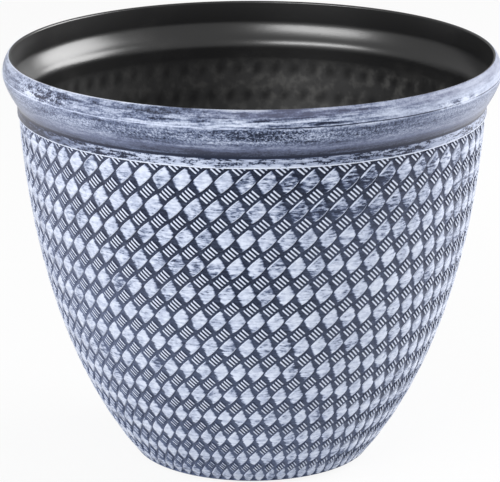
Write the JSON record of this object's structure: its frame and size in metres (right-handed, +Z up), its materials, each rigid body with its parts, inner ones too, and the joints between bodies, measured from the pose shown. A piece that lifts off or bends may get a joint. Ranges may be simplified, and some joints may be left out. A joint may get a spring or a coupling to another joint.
{
  "type": "plastic flower pot",
  "caption": "Round woven-look resin flower pot with a rolled rim, a bellied wall that narrows to the base, arc feet and push-in drain plugs.",
  "frame": {"origin": "centre of the pot's axis on the ground, under the feet", "axes": "+Z up along the pot's axis, -Y toward the side that the picture shows"},
  "size_m": [0.3809, 0.381, 0.318],
  "materials": {
    "brushed_paint": "pale lavender-blue paint dry-brushed over a dark slate ground, satin",
    "black_resin": "bare black resin, semi-gloss",
    "plug_rubber": "black rubber, matte"
  },
  "bodies": {
    "pot": {"pot_shell": "brushed_paint"},
    "plug_front": {"drain_plug_front": "plug_rubber"},
    "plug_right": {"drain_plug_right": "plug_rubber"},
    "plug_back": {"drain_plug_back": "plug_rubber"},
    "plug_left": {"drain_plug_left": "plug_rubber"}
  },
  "joints": [
    {"name": "front_plug_pull", "type": "slide", "parent": "pot", "child": "plug_front", "axis": [0, 0, 1], "range_m": [0, 0.04]},
    {"name": "right_plug_pull", "type": "slide", "parent": "pot", "child": "plug_right", "axis": [0, 0, 1], "range_m": [0, 0.04]},
    {"name": "back_plug_pull", "type": "slide", "parent": "pot", "child": "plug_back", "axis": [0, 0, 1], "range_m": [0, 0.04]},
    {"name": "left_plug_pull", "type": "slide", "parent": "pot", "child": "plug_left", "axis": [0, 0, 1], "range_m": [0, 0.04]}
  ]
}
